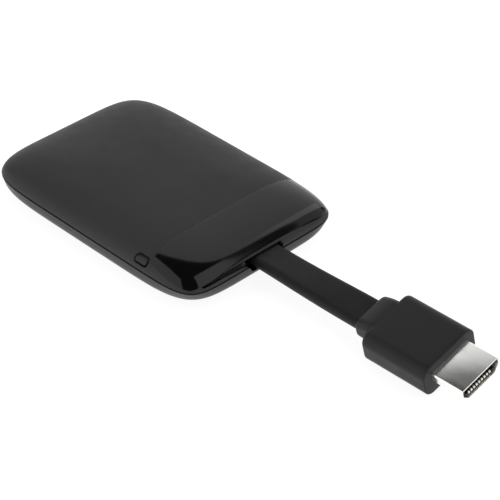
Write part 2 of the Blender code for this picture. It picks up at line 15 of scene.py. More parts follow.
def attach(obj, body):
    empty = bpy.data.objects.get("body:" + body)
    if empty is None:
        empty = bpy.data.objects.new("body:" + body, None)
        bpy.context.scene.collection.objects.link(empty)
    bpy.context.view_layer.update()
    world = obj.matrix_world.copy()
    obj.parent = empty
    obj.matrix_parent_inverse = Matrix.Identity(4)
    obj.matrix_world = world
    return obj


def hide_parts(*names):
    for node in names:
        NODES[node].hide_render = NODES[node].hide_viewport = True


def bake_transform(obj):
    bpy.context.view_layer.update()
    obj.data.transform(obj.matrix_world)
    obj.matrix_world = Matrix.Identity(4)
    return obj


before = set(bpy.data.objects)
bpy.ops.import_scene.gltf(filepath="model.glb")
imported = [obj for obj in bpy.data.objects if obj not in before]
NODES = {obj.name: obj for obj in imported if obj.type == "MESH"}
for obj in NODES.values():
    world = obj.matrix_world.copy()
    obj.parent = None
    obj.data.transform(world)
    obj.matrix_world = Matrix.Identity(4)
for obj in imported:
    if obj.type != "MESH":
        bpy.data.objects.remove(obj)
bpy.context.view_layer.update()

MM = 0.001
CLEARANCE = 0.3 * MM

# Camera
CAMERA_SPOT = Vector((0.33332, -0.29255, 0.31317))
CAMERA_AZIMUTH = math.radians(-44.495)
CAMERA_ELEVATION = math.radians(36.466)
CAMERA_ROLL = math.radians(0.11)
CAMERA_LENS = 138.6
CAMERA_SENSOR = 36.0
CAMERA_NEAR = 10 * MM
CAMERA_FAR = 20.0

# Outlines: the most of a side that a corner's arc may take, and the sharpest mitre
ARC_SHARE = 0.48
MITRE_LIMIT = 0.3

# Housing
HALF_LENGTH = 42.3 * MM
HALF_WIDTH = 28.7 * MM
FRONT_RIM_POWER = 9.6
BACK_RIM_POWER = 7.4
BODY_POWER = 6.0
PARTING_Z = 6.0 * MM
CROWN_HEIGHT = 8.0 * MM
CROWN_POWER = 2.5
BELLY_HEIGHT = 6.3 * MM
BELLY_POWER = 4.5
WALL = 1.6 * MM
LIP_WALL = 0.4 * MM
LIP_WIDTH = 0.8 * MM
LIP_BLEND = 1.2 * MM
MOUTH_GROWTH = 0.12 * MM
MOUTH_RIM = 0.05 * MM
MOUTH_REACH = 0.5 * MM
MOUTH_FROM_X = 35 * MM
RIM_RADIUS = 0.12 * MM
PARTING_GAP = 0.55 * MM
PARTING_RIM = 0.06 * MM
PARTING_REACH = 0.4 * MM
TONGUE_OUT = 1.9 * MM
TONGUE_IN = 2.7 * MM
TONGUE_LOW_Z = 4.6 * MM
TONGUE_HIGH_Z = 6.7 * MM
TONGUE_LEVEL = 0.25
TONGUE_OPEN_HALF = 7 * MM

# Grid of the housing's skin, and how it is cut along an outline
FINE_COLUMN = 0.28 * MM
COARSE_COLUMN = 0.85 * MM
FINE_FRONT_X = 36 * MM
FINE_BUTTON_HALF = 5 * MM
FINE_PORT_HALF = 5.5 * MM
RIM_ROW = 0.15 * MM
ROW_GROWTH = 0.10
ROW_GROWTH_FROM = 0.9 * MM
ROW_GROWTH_LENGTH = 9 * MM
CUT_SNAP = 0.02 * MM
CUT_SHARES = (0.08, 0.92)
CUT_HALVINGS = 10
FAR_AWAY = 1.0

# Gloss panel
PANEL_BACK_X = 25.3 * MM
PANEL_CORNER_X = 38.5 * MM
PANEL_SIDE_RISE = 3.5 * MM
PANEL_CORNER_RISE = 0.85 * MM
PANEL_FRONT_RISE = 2.75 * MM
PANEL_ARCH_HALF = 26.0 * MM
PANEL_ARCH_POWER = 3
PANEL_SEAM = 0.004 * MM
PANEL_EDGE = 0.008 * MM
PANEL_REACH = 0.1 * MM
PANEL_ARCH_BLEND = 0.5 * MM
PANEL_CORNER_BLEND = 0.6 * MM

# Mouth of the cable: (Y, height above the parting line, corner radius) in millimetres
MOUTH_OUTLINE = (
    (5.8, -1.5, 0.5), (5.8, 1.6, 0.4), (5.4, 2.1, 0.3), (-12.5, 2.15, 6.0), (-17.0, 2.05, 6.0),
    (-20.0, 1.8, 6.0), (-22.8, 1.3, 0.1), (-22.8, 1.05, 0.1), (-20.0, 1.2, 6.0), (-16.3, 1.35, 4.0),
    (-13.5, 1.25, 4.0), (-8.7, 0.95, 1.5), (-7.3, 0.5, 1.0), (-6.5, -0.3, 1.0), (-5.8, -1.5, 0.5),
    (-5.3, -2.05, 0.5), (5.3, -2.05, 0.5),
)

# Reset button, which sits a little low and back in its hole
BUTTON_X = 22.8 * MM
BUTTON_Z = 8.85 * MM
BUTTON_LENGTH = 4.1 * MM
BUTTON_HEIGHT = 1.35 * MM
BUTTON_SHIFT = (-0.20 * MM, -0.20 * MM)
BUTTON_SINK = 0.15 * MM
BUTTON_FILLET = 0.25 * MM
BUTTON_DISH = 0.06 * MM
BUTTON_SKIRT = 1.0 * MM
BUTTON_BACK_Y = -24.5 * MM
HOLE_LENGTH = 5.05 * MM
HOLE_HEIGHT = 2.3 * MM
PILL_FLAT = 0.1 * MM

# Power port
PORT_FACE_X = -41.6 * MM
PORT_DEPTH = 5.4 * MM
PORT_Z = 5.55 * MM
PORT_OUTLINE = (
    (3.8, -0.35, 0.5), (3.8, 1.45, 0.6), (-3.8, 1.45, 0.6), (-3.8, -0.35, 0.5), (-2.8, -1.45, 0.5),
    (2.8, -1.45, 0.5),
)
PORT_SHEET = 0.3 * MM

# Flat cable
CABLE_WIDTH = 10.0 * MM
CABLE_THICKNESS = 3.3 * MM
CABLE_CORNER = 1.4 * MM
CABLE_Y = 0.2 * MM
CABLE_START_X = 28.4 * MM
CABLE_TWIST_FROM_X = 44.0 * MM
CABLE_TWIST_TO_X = 79.0 * MM
CABLE_STATIONS = 40
CABLE_COLUMNS = 96

# Plug, measured from the middle of its metal nose, X forwards
PLUG_TIP = Vector((115.8 * MM, 0.8 * MM, 6.9 * MM))
PLUG_ROLL = math.radians(14.0)
PLUG_PITCH = math.radians(-0.6)
PLUG_YAW = math.radians(0.7)
NOSE_OUTLINE = (
    (6.95, -0.175, 0.35), (6.95, 2.225, 0.55), (-6.95, 2.225, 0.55), (-6.95, -0.175, 0.35),
    (-4.95, -2.225, 0.5), (4.95, -2.225, 0.5),
)
NOSE_SHEET = 0.3 * MM
NOSE_BACK_X = -18.0 * MM
MOULD_FRONT_X = -10.0 * MM
MOULD_BACK_X = -30.9 * MM
MOULD_WIDTH = 19.5 * MM
MOULD_HEIGHT = 9.6 * MM
MOULD_CORNER = 3.0 * MM
MOULD_BACK_EDGE = 0.9 * MM
MOULD_FRONT_EDGE = 0.30 * MM
MOULD_COLUMNS = 160
MOULD_PASSAGE = 6 * MM
NOSE_CLEARANCE = 0.04 * MM
BOOT_BACK_X = -36.4 * MM
BOOT_WIDTH = 12.4 * MM
BOOT_CORNER = 2.2 * MM
BOOT_BACK_LOW = -2.4 * MM
BOOT_BACK_HIGH = 3.4 * MM
BOOT_FRONT_LOW = -2.8 * MM
BOOT_FRONT_HIGH = 4.8 * MM
BOOT_OVERLAP = 0.95 * MM
BOOT_BACK_EDGE = 0.9 * MM
BOOT_FRONT_EDGE = 0.02 * MM
BOOT_COLUMNS = 128
BOOT_PASSAGE = 4 * MM
BOOT_CLEARANCE = 0.1 * MM
CABLE_END_X = -27.3 * MM
CONTACT_PITCH = 1.0 * MM
CONTACT_WIDTH = 0.6 * MM
CONTACT_THICKNESS = 0.16 * MM
CONTACT_CORNER = 0.06 * MM
CONTACT_BACK_X = -9.2 * MM
CONTACT_FRONT_X = -1.0 * MM
CONTACT_ROLL = 0.30 * MM
CONTACT_DROP = 0.12 * MM
CONTACT_ROWS = (("upper", 10, 0.95 * MM), ("lower", 9, -0.84 * MM))

# Studio: (name, azimuth, elevation, roll, half width, lowest edge, highest edge, radiance) of each
# light panel; the angles are in degrees, the edges measured from where the panel faces the object
PANELS = (
    ("panel_back", 136, 30, 0, 38, -38, 38, 1.00),
    ("panel_right", 13.8, 41.1, 68.1, 42, -20.5, 20.5, 1.15),
    ("panel_wall", 77.0, 32.0, 27.3, 19, -18.5, 18.5, 0.62),
    ("panel_left", 241.9, -8.1, 11.3, 43.8, 0, 71.5, 1.00),
)
PANEL_DISTANCE = 1.2
STUDIO_MIDDLE = Vector((0.03, 0.0, 0.006))
ROOM_DARK = 0.012
BAND_BRIGHT = 0.80
BAND_LOW = 8
BAND_HIGH = 20
BAND_GAP_HALF = 38
BAND_FULL_FROM = 50
FLOOR_GLOW = 0.90
FLOOR_HALF = 6.0


def make_camera():
    data = bpy.data.cameras.new("camera")
    data.lens = CAMERA_LENS
    data.sensor_width = CAMERA_SENSOR
    data.clip_start = CAMERA_NEAR
    data.clip_end = CAMERA_FAR
    camera = bpy.data.objects.new("camera", data)
    bpy.context.scene.collection.objects.link(camera)
    flat = math.cos(CAMERA_ELEVATION)
    back = Vector((flat * math.cos(CAMERA_AZIMUTH), flat * math.sin(CAMERA_AZIMUTH), 0))
    back.z = math.sin(CAMERA_ELEVATION)
    right = Vector((-math.sin(CAMERA_AZIMUTH), math.cos(CAMERA_AZIMUTH), 0.0))
    turn = Matrix((right, back.cross(right), back)).transposed() @ Matrix.Rotation(CAMERA_ROLL, 3, "Z")
    camera.matrix_world = Matrix.Translation(CAMERA_SPOT) @ turn.to_4x4()
    bpy.context.scene.camera = camera


# Outlines and meshes

def pairs(items):
    return zip(items, items[1:])


def rounded(corners, steps=6):
    """A closed outline from (y, z, radius) corners in millimetres, each corner an arc."""
    count = len(corners)
    points = []
    for i, (y, z, radius) in enumerate(corners):
        here = Vector((y, z))
        back = Vector(corners[i - 1][:2]) - here
        ahead = Vector(corners[(i + 1) % count][:2]) - here
        half_angle = back.angle(ahead) / 2
        room = ARC_SHARE * min(back.length, ahead.length)
        reach = min(radius / math.tan(half_angle), room)
        radius = reach * math.tan(half_angle)
        bisector = (back.normalized() + ahead.normalized()).normalized()
        centre = here + bisector * radius / math.sin(half_angle)
        start = here + back.normalized() * reach - centre
        sweep = start.angle_signed(here + ahead.normalized() * reach - centre)
        for step in range(steps + 1):
            points.append(centre + Matrix.Rotation(-sweep * step / steps, 2) @ start)
    return np.array([(p.x * MM, p.y * MM) for p in points])


def round_box(width, height, corner, steps=8):
    half_y, half_z, corner = width / 2 / MM, height / 2 / MM, corner / MM
    corners = ((half_y, -half_z), (half_y, half_z), (-half_y, half_z), (-half_y, -half_z))
    return rounded([(y, z, corner) for y, z in corners], steps)


def shrunk(outline, inset):
    """The outline moved inwards by inset along its own normals."""
    ahead = np.roll(outline, -1, axis=0) - outline
    ahead /= np.maximum(np.linalg.norm(ahead, axis=1, keepdims=True), 1e-9)
    normal = np.stack([ahead[:, 1], -ahead[:, 0]], axis=1)
    both = normal + np.roll(normal, 1, axis=0)
    both /= np.maximum((both * normal).sum(axis=1, keepdims=True), MITRE_LIMIT)
    following = np.roll(outline, -1, axis=0)
    area = np.sum(outline[:, 0] * following[:, 1] - outline[:, 1] * following[:, 0])
    return outline - both * inset * np.sign(area)


def by_angle(outline, angles, steps=24):
    """The outline's points at these polar angles about its own zero."""
    closed = np.append(outline, outline[:1], axis=0)
    sides = [np.linspace(a, b, steps, endpoint=False) for a, b in pairs(closed)]
    fine = np.concatenate(sides)
    found = np.arctan2(fine[:, 1], fine[:, 0])
    radius = np.hypot(fine[:, 0], fine[:, 1])
    order = np.argsort(found)
    around = np.interp(angles, found[order], radius[order], period=2 * math.pi)
    return np.stack([around * np.cos(angles), around * np.sin(angles)], axis=1)


def outside(points, outline):
    """Distance from each (u, v) point to a closed outline, negative inside it."""
    nearest = np.full(len(points), 1e9)
    inside = np.zeros(len(points), bool)
    for a, b in zip(outline, np.roll(outline, -1, axis=0)):
        side = b - a
        length = side @ side
        if length < 1e-18:
            continue
        share = np.clip(((points - a) @ side) / length, 0, 1)
        gap = points - (a + share[:, None] * side)
        nearest = np.minimum(nearest, np.hypot(gap[:, 0], gap[:, 1]))
        crosses = (a[1] > points[:, 1]) != (b[1] > points[:, 1])
        if a[1] != b[1]:
            where = a[0] + (points[:, 1] - a[1]) * (b[0] - a[0]) / (b[1] - a[1])
            inside ^= crosses & (points[:, 0] < where)
    return np.where(inside, -nearest, nearest)


def full_turn(count):
    """Evenly spaced polar angles all the way round."""
    return np.linspace(-math.pi, math.pi, count, endpoint=False)


def spaced(line, spacing):
    """Shares along a line of points, close together where spacing is small."""
    steps = np.linalg.norm(np.diff(line, axis=0), axis=1)
    weight = steps / spacing((line[1:] + line[:-1]) / 2)
    total = np.concatenate([[0.0], np.cumsum(weight)])
    count = max(2, int(round(total[-1])))
    return np.interp(np.linspace(0, total[-1], count + 1), total, np.linspace(0, 1, len(line)))


def loft(bm, rings, cap_start=False, cap_end=False):
    """Skin rings of equal length; returns their vertices."""
    rows = [[bm.verts.new(point) for point in ring] for ring in rings]
    for lower, upper in zip(rows, rows[1:]):
        count = len(lower)
        for i in range(count):
            j = (i + 1) % count
            bm.faces.new((lower[i], lower[j], upper[j], upper[i]))
    if cap_start:
        bm.faces.new(reversed(rows[0]))
    if cap_end:
        bm.faces.new(rows[-1])
    return rows


def piece(name, bm, body, material, replaces=(), matrix=None, sharp=50):
    """Finish a mesh piece: shade it, give it its looks and let it ride on its body."""
    bmesh.ops.recalc_face_normals(bm, faces=bm.faces)
    mesh = bpy.data.meshes.new(name)
    bm.to_mesh(mesh)
    bm.free()
    mesh.shade_smooth()
    mesh.set_sharp_from_angle(angle=math.radians(sharp))
    mesh.materials.append(material)
    obj = bpy.data.objects.new(name, mesh)
    bpy.context.scene.collection.objects.link(obj)
    if matrix is not None:
        obj.matrix_world = matrix
    if replaces:
        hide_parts(*replaces)
    if body:
        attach(obj, body)
    return obj


# Housing surfaces

def corner_power(front, level):
    """How square the outline is: squarest at the rim (level 0), rounder up and down from it."""
    rim_power = np.where(front, FRONT_RIM_POWER, BACK_RIM_POWER)
    return BODY_POWER + (rim_power - BODY_POWER) * (1 - np.clip(level, 0, 1)) ** 3


def outline_points(angle, inset=0.0, level=0.0):
    """The outline's points in these directions from the middle, moved in by inset."""
    across, along = np.cos(angle), np.sin(angle)
    power = corner_power(across > 0, level)
    half_x, half_y = HALF_LENGTH - inset, HALF_WIDTH - inset
    radius = (np.abs(across / half_x) ** power + np.abs(along / half_y) ** power) ** (-1 / power)
    return np.stack([radius * across, radius * along], axis=1)


def column_spacing(points):
    """Fine columns at the mouth, the button and the port, and coarser ones elsewhere."""
    x, y = points[:, 0], points[:, 1]
    near_button = (y < 0) & (np.abs(x - BUTTON_X) < FINE_BUTTON_HALF)
    near_port = (x < 0) & (np.abs(y) < FINE_PORT_HALF)
    fine = (x > FINE_FRONT_X) | near_button | near_port
    return np.where(fine, FINE_COLUMN, COARSE_COLUMN)


def column_angles(samples=8001):
    fine = np.linspace(0, 2 * math.pi, samples)
    shares = spaced(outline_points(fine), column_spacing)
    return shares[:-1] * 2 * math.pi


def height_profile(height, power, rise_from, rise_to, samples=3000):
    """(scale, rise) pairs up one side of the housing, evenly fine at the rim."""
    rise = np.linspace(rise_from, rise_to, samples)
    scale = np.maximum(1 - (rise / height) ** power, 0) ** (1 / power)
    line = np.stack([scale * HALF_WIDTH, rise], axis=1)

    def spacing(points):
        from_rim = HALF_WIDTH - points[:, 0]
        return RIM_ROW + ROW_GROWTH * np.clip(from_rim - ROW_GROWTH_FROM, 0, ROW_GROWTH_LENGTH)

    shares = spaced(line, spacing)
    place = np.linspace(0, 1, len(rise))
    return np.interp(shares, place, scale), np.interp(shares, place, rise)


def skin_grid(profile, height, direction, flat_shares=()):
    """The housing's upper (direction 1) or lower (-1) skin as one mesh of rings."""
    angles = column_angles()
    scales, rises = profile
    rings = []
    for scale, rise in zip(scales, rises):
        outline = outline_points(angles, level=rise / height)
        rings.append([(x * scale, y * scale, PARTING_Z + direction * rise) for x, y in outline])
    for share in flat_shares:
        rings.append([(x * share, y * share, z) for x, y, z in rings[len(scales) - 1]])
    bm = bmesh.new()
    if direction < 0:
        rings = [list(reversed(ring)) for ring in rings]
    last = loft(bm, rings)[-1]
    middle = bm.verts.new((0, 0, PARTING_Z + direction * rises[-1]))
    for i, vert in enumerate(last):
        bm.faces.new((vert, last[(i + 1) % len(last)], middle))
    return bm


def skin_level(co, height, power, direction):
    """Zero on the housing's skin, positive outside it."""
    level = np.maximum(direction * (co[:, 2] - PARTING_Z) / height, 0)
    corner = corner_power(co[:, 0] > 0, level)
    across = np.abs(co[:, 0] / HALF_LENGTH) ** corner + np.abs(co[:, 1] / HALF_WIDTH) ** corner
    return across ** (power / corner) + level ** power - 1


def skin_normals(co, height, power, direction):
    """Outward normals of the superelliptic skin at these points."""
    step = 0.001 * MM
    normal = np.zeros_like(co)
    for axis in range(3):
        shift = np.zeros(3)
        shift[axis] = step
        ahead = skin_level(co + shift, height, power, direction)
        normal[:, axis] = ahead - skin_level(co - shift, height, power, direction)
    return normal / np.linalg.norm(normal, axis=1, keepdims=True)


def coordinates(bm):
    return np.array([vert.co for vert in bm.verts])


def keep_where(bm, rule):
    """Cut the skin along rule's zero line and keep the side where rule is positive."""
    bm.verts.index_update()
    value = rule(coordinates(bm))
    snapped = np.where(value < 0, -CUT_SNAP, CUT_SNAP)
    value = np.where(np.abs(value) < CUT_SNAP, snapped, value)
    crossed = [e for e in bm.edges if value[e.verts[0].index] * value[e.verts[1].index] < 0]
    start = np.array([e.verts[0].co for e in crossed])
    end = np.array([e.verts[1].co for e in crossed])
    low = np.zeros(len(crossed))
    high = np.ones(len(crossed))
    sign = np.sign([value[e.verts[0].index] for e in crossed])
    for _ in range(CUT_HALVINGS):
        middle = (low + high) / 2
        same = np.sign(rule(start + (end - start) * middle[:, None])) == sign
        low = np.where(same, middle, low)
        high = np.where(same, high, middle)
    share = np.clip((low + high) / 2, *CUT_SHARES)
    outside_verts = {v for v in bm.verts if value[v.index] < 0}
    on_line = set()
    for edge, t in zip(crossed, share):
        on_line.add(bmesh.utils.edge_split(edge, edge.verts[0], t)[1])
    for face in {f for v in on_line for f in v.link_faces}:
        marked = [v for v in face.verts if v in on_line]
        if len(marked) == 2:
            bmesh.utils.face_split(face, marked[0], marked[1])
    gone = [f for f in bm.faces if any(v in outside_verts for v in f.verts)]
    bmesh.ops.delete(bm, geom=gone, context="FACES")


def thicken(bm, normals_of, wall_of, radius_of):
    """Give the cut skin its wall, with its rims rolled over."""
    bm.verts.index_update()
    verts = list(bm.verts)
    faces = list(bm.faces)
    co = coordinates(bm)
    normal = [Vector(n) for n in normals_of(co)]
    walls = wall_of(co)
    radii = radius_of(co)
    inner = [bm.verts.new(v.co - normal[i] * float(walls[i])) for i, v in enumerate(verts)]
    rim = []
    outward = {}
    for edge in bm.edges:
        if not edge.is_boundary:
            continue
        loop = edge.link_loops[0]
        a, b = loop.vert, loop.link_loop_next.vert
        away = (b.co - a.co).normalized().cross(normal[a.index])
        rim.append((a, b))
        outward[a.index] = outward.get(a.index, Vector()) + away
        outward[b.index] = outward.get(b.index, Vector()) + away
    chains = {}
    for i, away in outward.items():
        away.normalize()
        radius = float(radii[i])
        depth = float(walls[i]) - radius
        chain = [verts[i]]
        for angle in (22.5, 45, 67.5, 90):
            turn = math.radians(angle)
            place = away * (radius * math.sin(turn)) - normal[i] * (radius * (1 - math.cos(turn)))
            chain.append(bm.verts.new(verts[i].co + place))
        chain.append(bm.verts.new(verts[i].co + away * radius - normal[i] * depth))
        chain.append(inner[i])
        chains[i] = chain
    for face in faces:
        bm.faces.new([inner[v.index] for v in reversed(face.verts)])
    for a, b in rim:
        for (a0, a1), (b0, b1) in zip(pairs(chains[a.index]), pairs(chains[b.index])):
            bm.faces.new((b0, a0, a1, b1))


def panel_depth(co):
    """How far inside the gloss panel's field each point is."""
    x, y, rise = co[:, 0], co[:, 1], co[:, 2] - PARTING_Z
    arch = np.maximum(0, 1 - np.abs(y / PANEL_ARCH_HALF) ** PANEL_ARCH_POWER)
    front = PANEL_CORNER_RISE + (PANEL_FRONT_RISE - PANEL_CORNER_RISE) * arch
    slope = (PANEL_SIDE_RISE - PANEL_CORNER_RISE) / (PANEL_CORNER_X - PANEL_BACK_X)
    side = PANEL_CORNER_RISE + (PANEL_CORNER_X - x) * slope
    lower_edge = smooth_most(front, side, PANEL_ARCH_BLEND)
    return smooth_least(x - PANEL_BACK_X, rise - lower_edge, PANEL_CORNER_BLEND)


def smooth_least(a, b, width):
    blend = np.clip(0.5 + (b - a) / (2 * width), 0, 1)
    return b + (a - b) * blend - width * blend * (1 - blend)


def smooth_most(a, b, width):
    return -smooth_least(-a, -b, width)


def mouth_room(co):
    """Distance outside the cable's mouth, far away everywhere but at the front end."""
    outline = rounded(MOUTH_OUTLINE)
    room = outside(np.stack([co[:, 1], co[:, 2] - PARTING_Z], axis=1), outline)
    return np.where(co[:, 0] > MOUTH_FROM_X, room, FAR_AWAY)


def button_room(co):
    outline = round_box(HOLE_LENGTH, HOLE_HEIGHT, HOLE_HEIGHT / 2 - PILL_FLAT)
    place = np.stack([co[:, 0] - BUTTON_X, co[:, 2] - BUTTON_Z], axis=1)
    return np.where(co[:, 1] < 0, outside(place, outline), FAR_AWAY)


def port_room(co):
    outline = rounded(PORT_OUTLINE)
    room = outside(np.stack([co[:, 1], co[:, 2] - PORT_Z], axis=1), outline)
    return np.where(co[:, 0] < 0, room, FAR_AWAY)


def crown_normals(co):
    return skin_normals(co, CROWN_HEIGHT, CROWN_POWER, 1)


def belly_normals(co):
    normal = skin_normals(co, BELLY_HEIGHT, BELLY_POWER, -1)
    flat = co[:, 2] < 0.01 * MM
    normal[flat] = (0, 0, -1)
    return normal


def crown_skin():
    start = PARTING_GAP / 2 + PARTING_RIM
    profile = height_profile(CROWN_HEIGHT, CROWN_POWER, start, CROWN_HEIGHT * 0.9999)
    return skin_grid(profile, CROWN_HEIGHT, 1)


def wall_depth(co):
    """Thin lips round the cable's mouth, the full wall elsewhere."""
    share = np.clip((mouth_room(co) - LIP_WIDTH) / LIP_BLEND, 0, 1)
    return LIP_WALL + (WALL - LIP_WALL) * share * share * (3 - 2 * share)


def rim_radius(co):
    at_parting = np.abs(co[:, 2] - PARTING_Z) < PARTING_REACH
    radius = np.where(at_parting, PARTING_RIM, RIM_RADIUS)
    return np.where(mouth_room(co) < MOUTH_REACH, MOUTH_RIM, radius)


def upper_rim_radius(co):
    """Crisp where the satin shell meets the gloss panel, softer at every other edge."""
    return np.where(np.abs(panel_depth(co)) < PANEL_REACH, PANEL_EDGE, rim_radius(co))


def panel_rim_radius(co):
    return np.full(len(co), PANEL_EDGE)


def tongue_band(bm, columns=240):
    """The rim inside the lower shell that the upper shell closes over, open at the mouth."""
    open_half = math.atan2(TONGUE_OPEN_HALF, HALF_LENGTH)
    angles = np.linspace(open_half, 2 * math.pi - open_half, columns)
    outer = outline_points(angles, TONGUE_OUT, TONGUE_LEVEL)
    inner = outline_points(angles, TONGUE_IN, TONGUE_LEVEL)
    rings = []
    for (ox, oy), (ix, iy) in zip(outer, inner):
        ring = [(ox, oy, TONGUE_LOW_Z), (ox, oy, TONGUE_HIGH_Z)]
        ring += [(ix, iy, TONGUE_HIGH_Z), (ix, iy, TONGUE_LOW_Z)]
        rings.append(ring)
    loft(bm, rings, cap_start=True, cap_end=True)


def make_housing(satin, gloss, belly):
    upper = crown_skin()
    hole_gap = CLEARANCE + RIM_RADIUS
    keep_where(upper, lambda co: np.minimum.reduce([
        -panel_depth(co) - PANEL_SEAM / 2 - PANEL_EDGE,
        mouth_room(co) - MOUTH_GROWTH - MOUTH_RIM,
        button_room(co) - RIM_RADIUS,
        port_room(co) - hole_gap,
    ]))
    thicken(upper, crown_normals, wall_depth, upper_rim_radius)
    piece("top_shell_skin", upper, "housing", satin, ["top_shell"])

    panel = crown_skin()
    keep_where(panel, lambda co: panel_depth(co) - PANEL_SEAM / 2 - PANEL_EDGE)
    thicken(panel, crown_normals, wall_depth, panel_rim_radius)
    piece("gloss_panel_skin", panel, "housing", gloss, ["gloss_panel"])

    start = PARTING_GAP / 2 + PARTING_RIM
    profile = height_profile(BELLY_HEIGHT, BELLY_POWER, start, PARTING_Z)
    lower = skin_grid(profile, BELLY_HEIGHT, -1, flat_shares=(0.95, 0.85, 0.7, 0.5, 0.3, 0.12))
    keep_where(lower, lambda co: np.minimum(
        mouth_room(co) - MOUTH_GROWTH - MOUTH_RIM,
        port_room(co) - hole_gap,
    ))
    thicken(lower, belly_normals, wall_depth, rim_radius)
    tongue_band(lower)
    piece("bottom_shell_skin", lower, "housing", belly, ["bottom_shell"])


def make_button(satin):
    """A pill that sits a little way inside its hole, follows the side's curve and is dished."""
    outline = round_box(BUTTON_LENGTH, BUTTON_HEIGHT, BUTTON_HEIGHT / 2 - PILL_FLAT)
    middle_x, middle_z = BUTTON_X + BUTTON_SHIFT[0], BUTTON_Z + BUTTON_SHIFT[1]

    def on_side(shape, depth):
        ring = []
        for u, v in shape:
            x, rise = middle_x + u, middle_z + v - PARTING_Z
            scale = (1 - (rise / CROWN_HEIGHT) ** CROWN_POWER) ** (1 / CROWN_POWER)
            power = float(corner_power(True, rise / CROWN_HEIGHT))
            y = -HALF_WIDTH * (scale ** power - (x / HALF_LENGTH) ** power) ** (1 / power)
            ring.append((x, y + BUTTON_SINK + depth, PARTING_Z + rise))
        return ring

    rings = [[(middle_x + u, BUTTON_BACK_Y, middle_z + v) for u, v in outline]]
    rings.append(on_side(outline, BUTTON_SKIRT))
    for angle in (0, 20, 40, 60, 80, 90):
        turn = math.radians(angle)
        shape = shrunk(outline, BUTTON_FILLET * (1 - math.cos(turn)))
        rings.append(on_side(shape, BUTTON_FILLET * (1 - math.sin(turn))))
    for share in (0.35, 0.5, 0.65, 0.8, 0.92):
        dish = BUTTON_DISH * min(1, (share - 0.25) * 2)
        rings.append(on_side(outline * (1 - share), dish))
    bm = bmesh.new()
    loft(bm, rings, cap_start=True, cap_end=True)
    piece("reset_button_cap", bm, "button", satin, ["reset_button"])


# Plug and cable

def plug_matrix():
    turn = Matrix.Rotation(PLUG_YAW, 4, "Z") @ Matrix.Rotation(PLUG_PITCH, 4, "Y")
    return Matrix.Translation(PLUG_TIP) @ turn @ Matrix.Rotation(PLUG_ROLL, 4, "X")


def ease(value):
    value = min(1.0, max(0.0, value))
    return value * value * (3 - 2 * value)


def cable_route(count):
    """Stations (centre, roll) from the board connector into the plug."""
    axis = plug_matrix()
    end = axis @ Vector((CABLE_END_X, 0, 0))
    boot = axis @ Vector((BOOT_BACK_X, 0, 0))
    stations = []
    for i in range(count):
        x = CABLE_START_X + (end.x - CABLE_START_X) * i / (count - 1)
        beyond = (end - boot) * ((x - boot.x) / (end.x - boot.x)) + boot
        share = ease((x - HALF_LENGTH) / (boot.x - HALF_LENGTH))
        y = CABLE_Y + (beyond.y - CABLE_Y) * share
        z = PARTING_Z + (beyond.z - PARTING_Z) * share
        roll = PLUG_ROLL * ease((x - CABLE_TWIST_FROM_X) / (CABLE_TWIST_TO_X - CABLE_TWIST_FROM_X))
        stations.append((Vector((x, y, z)), roll))
    return stations


def make_cable(material):
    section = round_box(CABLE_WIDTH, CABLE_THICKNESS, CABLE_CORNER)
    section = by_angle(section, full_turn(CABLE_COLUMNS))
    stations = cable_route(CABLE_STATIONS)
    rings = []
    for centre, roll in stations:
        turn = Matrix.Rotation(roll, 3, "X")
        rings.append([centre + turn @ Vector((0, y, z)) for y, z in section])
    bm = bmesh.new()
    loft(bm, rings, cap_start=True, cap_end=True)
    cable = piece("flat_cable_jacket", bm, None, material, ["flat_cable"])
    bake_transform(cable)


def stations_x(back_x, front_x, back_edge, front_edge, middles=10):
    """(x, trim) stations of a moulding with rounded back and front edges."""
    turns = [math.radians(angle) for angle in (0, 15, 30, 45, 60, 75, 90)]
    back = [(back_x + back_edge * (1 - math.cos(t)), back_edge * (1 - math.sin(t))) for t in turns]
    front = [(front_x - front_edge * (1 - math.sin(t)), front_edge * (1 - math.cos(t)))
             for t in turns]
    middle = np.linspace(back_x + back_edge, front_x - front_edge, middles + 2)[1:-1]
    return back + [(x, 0.0) for x in middle] + front


def section_ring(outline, x):
    return [(x, y, z) for y, z in outline]


def passage_ring(room, angles):
    """The hole that a plug's piece leaves for the cable, with room all round it."""
    return by_angle(round_box(CABLE_WIDTH + 2 * room, CABLE_THICKNESS + 2 * room, CABLE_CORNER), angles)


def make_mould(material):
    angles = full_turn(MOULD_COLUMNS)
    rings = []
    for x, trim in stations_x(MOULD_BACK_X, MOULD_FRONT_X, MOULD_BACK_EDGE, MOULD_FRONT_EDGE):
        outline = round_box(MOULD_WIDTH - 2 * trim, MOULD_HEIGHT - 2 * trim, MOULD_CORNER - trim)
        rings.append(section_ring(by_angle(outline, angles), x))
    hole = by_angle(shrunk(rounded(NOSE_OUTLINE), -NOSE_CLEARANCE), angles)
    passage = passage_ring(CLEARANCE, angles)
    rings.append(section_ring(hole, MOULD_FRONT_X))
    rings.append(section_ring(hole, NOSE_BACK_X))
    rings.insert(0, section_ring(passage, MOULD_BACK_X))
    rings.insert(0, section_ring(passage, MOULD_BACK_X + MOULD_PASSAGE))
    bm = bmesh.new()
    loft(bm, rings, cap_start=True, cap_end=True)
    piece("plug_overmould_body", bm, "plug", material, ["plug_overmould"],
          plug_matrix())


